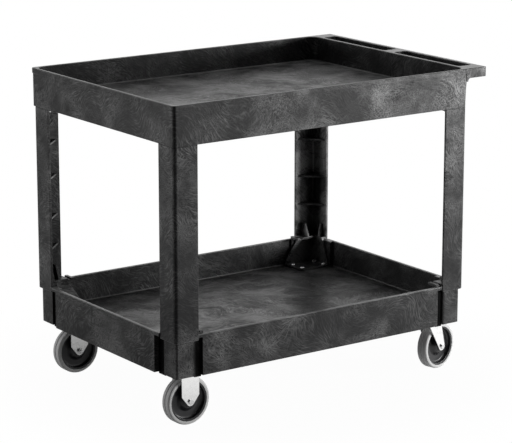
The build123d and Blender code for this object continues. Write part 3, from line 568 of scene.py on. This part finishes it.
# %% Painted shade on the lower shelf
leg_lip = 236.0 * mm  # height of the lips' lower edges
seam = 4.0 * mm  # how far a seam's darkness reaches
groove_start = 64.0 * mm  # inward from the legs' outer faces, as are the next two
groove_floor_depth = 13.0 * mm
block_skin = 9.0 * mm
groove_zone = 31.0 * mm  # faces this far past its start can still belong to a groove
groove_top = leg_lip + 6.0 * mm  # nothing above this height is darkened
front_shade = 9.0 * mm  # width of the darkened strip on the long sides
end_shade = 2.0 * mm  # and on the short ends


def under_lip(point):
    """Whether a point lies on a corner block, just below the lip of its leg."""
    x, y = inward(point)
    on_block = min(x, y) < block_skin and max(x, y) < groove_start
    return on_block and leg_lip - seam < point.z < leg_lip


def beside_groove(point, across, shade):
    """Whether a point lies in a groove, or on the strip of the block beside it."""
    place = inward(point)
    skin = block_skin if place[across] < groove_start else groove_floor_depth
    return (groove_start - shade < place[across] < groove_start + groove_zone
            and place[1 - across] < skin and point.z < groove_top)


def paint_shelf_shade(bm):
    """Paint shade into the grooves beside the corner blocks and the seams under the legs' lips."""
    for place in (leg_left + groove_start - front_shade, leg_right - groove_start + front_shade):
        cut_across(bm, 0, place)
    for place in (leg_side - groove_start + end_shade, groove_start - end_shade - leg_side):
        cut_across(bm, 1, place)
    cut_across(bm, 2, leg_lip)
    cut_across(bm, 2, leg_lip - seam)
    paint_shade(bm, under_lip, lambda point: 1.0 - (leg_lip - point.z) / seam)
    for across, shade in ((0, front_shade), (1, end_shade)):
        paint_shade(bm, lambda point: beside_groove(point, across, shade),
             lambda point: (inward(point)[across] - groove_start + shade) / shade)


print("grooves start", round(groove_start / mm), "mm from the corner")

# %% [markdown]
# ## Trays
# Both trays are single mouldings with a floor, four walls and a rim. They could be built anew
# from sheets, but the CAD solids have every rib and boss already, so softened copies of them
# are used. The floor's inner corners get the widest radius, as a mould needs for its melt to
# flow, and the rim gets one that is kind to the hand.

# %% Trays
tray_floor = 771.0 * mm
tray_rim = 840.0 * mm
shelf_floor = 176.0 * mm
shelf_rim = 251.0 * mm
floor_radius = 3.5 * mm
rim_radius = 1.8 * mm
tray_edge = 0.6 * mm
square_angle = 60.0  # degrees; floors and rims meet their walls more squarely than this
tray_levels = (("top_tray", tray_floor, tray_rim), ("lower_shelf", shelf_floor, shelf_rim))
for node, floor_level, rim_level in tray_levels:
    bm = merged(node)
    floor_corners = sharp_edges(bm, square_angle, floor_level, hollow=True)
    bevel_edges(bm, floor_corners, floor_radius, segments=3, wear_and_highlight=0.5)
    rim_edges = sharp_edges(bm, square_angle, rim_level, hollow=False)
    bevel_edges(bm, rim_edges, rim_radius, segments=3, wear_and_highlight=1.0)
    # The rims' flat tops take the full worn paleness too, which is partly a painted highlight.
    mark_level(bm, rim_level, "worn_and_highlit")
    mark_level(bm, floor_level, "haze_and_painted_light")
    bevel_edges(bm, sharp_edges(bm), tray_edge, segments=2)
    pull_in(bm, node)
    # The lower shelf's grooves and lip seams get painted shade.
    if node == "lower_shelf":
        paint_shelf_shade(bm)
    print(node, len(bm.faces), "faces")
    piece_from(bm, node + "_moulding", node, foam)

# %% [markdown]
# ## Legs
# Each leg is an L-shaped moulding with triangular ribs inside, a lip outside the shelf and a
# boot on its floor. It is softened like the trays. The seam under the tray's skirt gets painted
# shade. The inner faces look lighter in the picture than this light alone makes them, so they
# take some of the floors' haze as painted light, more at the handle end and most on the boots.
# The amounts were set one by one.

# %% Legs
corners = ["front_left", "front_right", "back_left", "back_right"]
lip_radius = 1.8 * mm
leg_edge = 0.7 * mm
skirt_foot = 737.0 * mm  # height of the lower edge of the tray's skirt
boot_top = shelf_rim + 10.0 * mm
boot_painted_light = 2.6
handle_end_painted_light = 1.4
far_end_painted_light = 0.2
facing_in = -0.4  # a face whose normal points inward by more than this is an inner face
for corner in corners:
    bm = merged("leg_" + corner)
    lip_edges = sharp_edges(bm, square_angle, leg_lip, hollow=False)
    # The lip's edge takes the full worn paleness, partly a painted highlight.
    bevel_edges(bm, lip_edges, lip_radius, segments=2, wear_and_highlight=1.0)
    bevel_edges(bm, sharp_edges(bm), leg_edge, segments=2)
    # Painted shade in the seam under the tray's skirt, fading over a few millimetres.
    cut_across(bm, 2, skirt_foot - seam)
    cut_across(bm, 2, skirt_foot)
    paint_shade(bm, lambda point: skirt_foot - seam < point.z < skirt_foot,
         lambda point: 1.0 - (skirt_foot - point.z) / seam)
    # Inner faces are painted lighter, as painted light, most on the boots.
    haze_and_light_layer = bm.faces.layers.float.new("haze_and_painted_light")
    outward_x = -1.0 if corner.endswith("left") else 1.0
    outward_y = -1.0 if corner.startswith("front") else 1.0
    leg_painted_light = handle_end_painted_light if corner.endswith("right") else far_end_painted_light
    for face in bm.faces:
        if min(face.normal.x * outward_x, face.normal.y * outward_y) < facing_in:
            on_boot = face.calc_center_median().z < boot_top
            face[haze_and_light_layer] = boot_painted_light if on_boot else leg_painted_light
    print("leg", corner, len(bm.faces), "faces")
    piece_from(bm, "leg_" + corner + "_moulding", "leg_" + corner, foam)

# %% [markdown]
# ## Zinc plated pressings
# The caster forks and plates are pressed from steel strip and then zinc plated and passivated:
# bright, a little cloudy, with fine lines from rolling. The lines could be left to the gloss
# alone, but a faint bump of stretched noise shows them from every side. They are drawn coarser
# than life so that they show.

# %% Zinc material
# Passivated zinc on steel: a bright grey metal whose reflections are soft and cloudy.
zinc, tree, shader = new_material("zinc_plated_steel")
line_spacing = 1.2  # mm, finer in life
stretch_up = 0.06  # the lines run upward, so the pattern is drawn out along Z
here = add(tree, "ShaderNodeTexCoord").outputs["Object"]
cloud = add(tree, "ShaderNodeTexNoise", {"Vector": here, "Scale": per_mm(9), "Detail": 3.0})
stretched = add(tree, "ShaderNodeMapping", {"Vector": here, "Scale": (1.0, 1.0, stretch_up)})
rolling = add(tree, "ShaderNodeTexNoise", {"Vector": stretched.outputs[0], "Scale": per_mm(line_spacing),
                                           "Detail": 2.0})
shade = add(tree, "ShaderNodeMix", {"Factor": cloud.outputs["Fac"], "A": linear("#e8e8e8"),
                                    "B": linear("#f8f8f7")}, data_type="RGBA")
rough = add(tree, "ShaderNodeMapRange", {"Value": cloud.outputs["Fac"], "From Min": 0.3, "From Max": 0.7,
                                         "To Min": 0.24, "To Max": 0.34})
lines = add(tree, "ShaderNodeBump", {"Height": rolling.outputs["Fac"], "Strength": 0.12, "Distance": 0.0002})
tree.links.new(shade.outputs["Result"], shader.inputs["Base Color"])
tree.links.new(rough.outputs["Result"], shader.inputs["Roughness"])
tree.links.new(lines.outputs[0], shader.inputs["Normal"])
shader.inputs["Metallic"].default_value = 1.0
print("zinc nodes", len(tree.nodes))

# %% Forks and plates
pressing_edge = 0.5 * mm
for side in ("front", "back"):
    for kind in ("rigid_fork", "swivel_plate", "swivel_fork"):
        node = kind + "_" + side
        bm = merged(node)
        bevel_edges(bm, sharp_edges(bm), pressing_edge, segments=2)
        print(node, len(bm.faces), "faces")
        piece_from(bm, node + "_pressing", node, zinc)

# %% [markdown]
# ## Fasteners
# Bolts, nuts and pins are bright zinc too, but rolled and turned, so smoother than the
# pressings, with a darker film where tools have touched them. They could be modelled again, but
# the CAD solids are right, so copies of them only lose their sharp edges.

# %% Fastener material
# Bright zinc on turned steel: a smooth metal with small dull places.
bright, tree, shader = new_material("bright_zinc_fastener")
here = add(tree, "ShaderNodeTexCoord").outputs["Object"]
film = add(tree, "ShaderNodeTexNoise", {"Vector": here, "Scale": per_mm(5), "Detail": 3.0})
shade = add(tree, "ShaderNodeMix", {"Factor": film.outputs["Fac"], "A": linear("#c4c4c6"),
                                    "B": linear("#efefee")}, data_type="RGBA")
rough = add(tree, "ShaderNodeMapRange", {"Value": film.outputs["Fac"], "From Min": 0.3, "From Max": 0.7,
                                         "To Min": 0.18, "To Max": 0.36})
tree.links.new(shade.outputs["Result"], shader.inputs["Base Color"])
tree.links.new(rough.outputs["Result"], shader.inputs["Roughness"])
shader.inputs["Metallic"].default_value = 1.0
print("fastener nodes", len(tree.nodes))

# %% Bolts, nuts and pins
fastener_edge = 0.4 * mm
fasteners = ["leg_screws", "caster_bolts", "caster_nuts"]
fasteners += ["axle_bolt_" + c for c in corners] + ["axle_nut_" + c for c in corners]
fasteners += [kind + side for kind in ("kingpin_", "kingpin_nut_") for side in ("front", "back")]
for node in fasteners:
    bm = merged(node)
    bevel_edges(bm, sharp_edges(bm, angle=40.0), fastener_edge, segments=2)
    piece_from(bm, node + "_plated", node, bright)
print("fasteners", len(fasteners))

# %% [markdown]
# The balls of the swivel races and the axle sleeves are hardened steel, ground and polished.
# They keep their CAD shapes, which are true already, and only take a darker, glossier metal.

# %% Bearing steel
# Ground steel under a film of oil: dark, with sharp reflections.
bearing, tree, shader = new_material("ground_bearing_steel")
here = add(tree, "ShaderNodeTexCoord").outputs["Object"]
oil = add(tree, "ShaderNodeTexNoise", {"Vector": here, "Scale": per_mm(3), "Detail": 2.0})
shade = add(tree, "ShaderNodeMix", {"Factor": oil.outputs["Fac"], "A": linear("#77797c"),
                                    "B": linear("#a9abad")}, data_type="RGBA")
rough = add(tree, "ShaderNodeMapRange", {"Value": oil.outputs["Fac"], "To Min": 0.1, "To Max": 0.3})
tree.links.new(shade.outputs["Result"], shader.inputs["Base Color"])
tree.links.new(rough.outputs["Result"], shader.inputs["Roughness"])
shader.inputs["Metallic"].default_value = 1.0
bearings = ["race_balls_front", "race_balls_back"] + ["axle_sleeve_" + c for c in corners]
for node in bearings:
    nodes[node].data.materials.clear()
    nodes[node].data.materials.append(bearing)
print("bearing steel on", len(bearings), "nodes")

# %% [markdown]
# ## Wheels
# Each wheel is a black polypropylene hub with a grey thermoplastic rubber tyre moulded on. The
# tyre has rounded shoulders and one groove round its tread. The hub falls in a smooth S-curve
# from its boss to a thin web. Bevelled cylinders could stand for them, but not show the groove
# and the curve. Both are turned shapes, so a half section is drawn and spun round the axle, and
# the spin is closed by merging its ends.

# %% Tyre material
# Thermoplastic rubber: a matt grey with faint scuffs, a little darker on the tread, and dust that is
# drawn coarser than life. It is written paler than it looks, because this light is dim under the cart.
tread_rubber, tree, shader = new_material("grey_thermoplastic_rubber")
here = add(tree, "ShaderNodeTexCoord").outputs["Object"]
scuff = add(tree, "ShaderNodeTexNoise", {"Vector": here, "Scale": per_mm(14), "Detail": 4.0})
dust = add(tree, "ShaderNodeTexNoise", {"Vector": here, "Scale": per_mm(1.6), "Detail": 2.0})
tread_faces = add(tree, "ShaderNodeAttribute", attribute_name="tread")
side_tone = add(tree, "ShaderNodeMix", {"Factor": scuff.outputs["Fac"], "A": linear("#dedede"),
                                        "B": linear("#eaeae9")}, data_type="RGBA")
tread_tone = add(tree, "ShaderNodeMix", {"Factor": scuff.outputs["Fac"], "A": linear("#cecece"),
                                         "B": linear("#e2e2e2")}, data_type="RGBA")
# The tread faces are drawn a little darker than the sides.
rubber = add(tree, "ShaderNodeMix", {"Factor": tread_faces.outputs["Fac"], "A": side_tone.outputs["Result"],
                                     "B": tread_tone.outputs["Result"]}, data_type="RGBA")
rough = add(tree, "ShaderNodeMapRange", {"Value": scuff.outputs["Fac"], "To Min": 0.45, "To Max": 0.7})
matt = add(tree, "ShaderNodeBump", {"Height": dust.outputs["Fac"], "Strength": 0.15, "Distance": 0.0003})
tree.links.new(rubber.outputs["Result"], shader.inputs["Base Color"])
tree.links.new(rough.outputs["Result"], shader.inputs["Roughness"])
tree.links.new(matt.outputs[0], shader.inputs["Normal"])
shader.inputs["IOR"].default_value = 1.5
print("rubber nodes", len(tree.nodes))

# %% Hub material
# Moulded polypropylene: black, half glossy, with a pebbled skin drawn coarser than life.
hub_black, tree, shader = new_material("black_polypropylene")
here = add(tree, "ShaderNodeTexCoord").outputs["Object"]
haze = add(tree, "ShaderNodeTexNoise", {"Vector": here, "Scale": per_mm(18), "Detail": 3.0})
pebble = add(tree, "ShaderNodeTexNoise", {"Vector": here, "Scale": per_mm(0.9), "Detail": 1.0})
shade = add(tree, "ShaderNodeMix", {"Factor": haze.outputs["Fac"], "A": linear("#1e1e20"),
                                    "B": linear("#313133")}, data_type="RGBA")
rough = add(tree, "ShaderNodeMapRange", {"Value": haze.outputs["Fac"], "To Min": 0.28, "To Max": 0.44})
skin = add(tree, "ShaderNodeBump", {"Height": pebble.outputs["Fac"], "Strength": 0.1, "Distance": 0.0002})
tree.links.new(shade.outputs["Result"], shader.inputs["Base Color"])
tree.links.new(rough.outputs["Result"], shader.inputs["Roughness"])
tree.links.new(skin.outputs[0], shader.inputs["Normal"])
shader.inputs["IOR"].default_value = 1.49
print("hub nodes", len(tree.nodes))

# %% Spinning a half section
def turned(section, centre, axle, steps=96):
    """Spin a closed half section, given as (along the axle, out from it) in mm, round the axle."""
    bm = bmesh.new()
    out = Vector((0, 0, 1))
    ring = [bm.verts.new(centre + axle * (a * mm) + out * (r * mm)) for a, r in section]
    edges = [bm.edges.new((ring[i], ring[(i + 1) % len(ring)])) for i in range(len(ring))]
    bmesh.ops.spin(bm, geom=ring + edges, cent=centre, axis=axle, angle=2 * math.pi, steps=steps,
                   use_merge=True)
    bmesh.ops.remove_doubles(bm, verts=bm.verts, dist=0.001 * mm)
    bmesh.ops.recalc_face_normals(bm, faces=bm.faces)
    return bm


def arc(centre, radius, start, end, steps):
    """Points of a circular arc in a half section, angles in degrees."""
    turns = [math.radians(start + (end - start) * i / steps) for i in range(steps + 1)]
    return [(centre[0] + radius * math.cos(t), centre[1] + radius * math.sin(t)) for t in turns]


print("a quarter arc", len(arc((0.0, 0.0), 1.0, 0, 90, 6)), "points")

# %% Tyre section
# All lengths of the two sections are in millimetres.
wheel_radius = 63.5
half_width = 16.0
hub_radius = 54.0
shoulder = 6.0
groove_half = 2.0
groove_depth = 1.5
lip_width, lip_drop = 0.6, 0.5  # the chamfer along both edges of the groove
groove_floor = wheel_radius - groove_depth
right_shoulder = arc((half_width - shoulder, wheel_radius - shoulder), shoulder, 0, 90, 6)
left_shoulder = arc((shoulder - half_width, wheel_radius - shoulder), shoulder, 90, 180, 6)
tyre_section = [(-half_width, hub_radius), (half_width, hub_radius)] + right_shoulder
tyre_section += [(groove_half + lip_width, wheel_radius), (groove_half, wheel_radius - lip_drop)]
tyre_section += [(groove_half, groove_floor), (-groove_half, groove_floor)]
tyre_section += [(-groove_half, wheel_radius - lip_drop), (-groove_half - lip_width, wheel_radius)]
tyre_section += left_shoulder
print("tyre section", len(tyre_section), "points")

# %% Hub section
bore = 8.2
boss_end = 19.0
boss_radius = 15.0
boss_round = 1.5
web = 3.0
web_round = 5.0
web_flat_end = 8.0  # how far inside the rim the web stops being flat
dish_radius = 31.0
dish_steps = 14
rim_inner = 49.0
rim_half = 14.5
rim_chamfer, rim_chamfer_mid = 1.0, 0.3
dish = []
for step in range(dish_steps + 1):
    part = step / dish_steps
    fall = 0.5 - 0.5 * math.cos(math.pi * part)
    dish.append((boss_end - boss_round + (web - boss_end + boss_round) * fall,
                 boss_radius + (dish_radius - boss_radius) * part))
one_side = [(boss_end, bore), (boss_end, boss_radius - boss_round)]
one_side += arc((boss_end - boss_round, boss_radius - boss_round), boss_round, 0, 80, 4)
one_side += dish + [(web, rim_inner - web_flat_end)]
one_side += arc((web + web_round, rim_inner - web_round), web_round, 180, 90, 5)[1:]
one_side += [(rim_half - rim_chamfer, rim_inner), (rim_half - rim_chamfer_mid, rim_inner + rim_chamfer_mid)]
one_side += [(rim_half, rim_inner + rim_chamfer), (rim_half, hub_radius)]
hub_section = one_side + [(-a, r) for a, r in reversed(one_side)]
print("hub section", len(hub_section), "points")

# %% Tyres and hubs
tread_half = 10.5
tread_thickness = 3.0
for joint in frame["joints"]:
    if not joint["name"].endswith("_spin"):
        continue
    corner = joint["name"][len("wheel_"):-len("_spin")]
    centre = Vector(joint["pos_m"])
    axle = Vector(joint["axis"]).normalized()
    bm = turned(tyre_section, centre, axle)
    tread_layer = bm.faces.layers.float.new("tread")
    for face in bm.faces:
        away = face.calc_center_median() - centre
        radius = (away - axle * away.dot(axle)).length
        on_tread = radius > (wheel_radius - tread_thickness) * mm and abs(away.dot(axle)) < tread_half * mm
        face[tread_layer] = 1.0 if on_tread else 0.0
    piece_from(bm, "tyre_" + corner + "_moulding", "tyre_" + corner, tread_rubber)
    bm = turned(hub_section, centre, axle)
    piece_from(bm, "wheel_hub_" + corner + "_moulding", "wheel_hub_" + corner, hub_black)
print("wheels", len(corners))
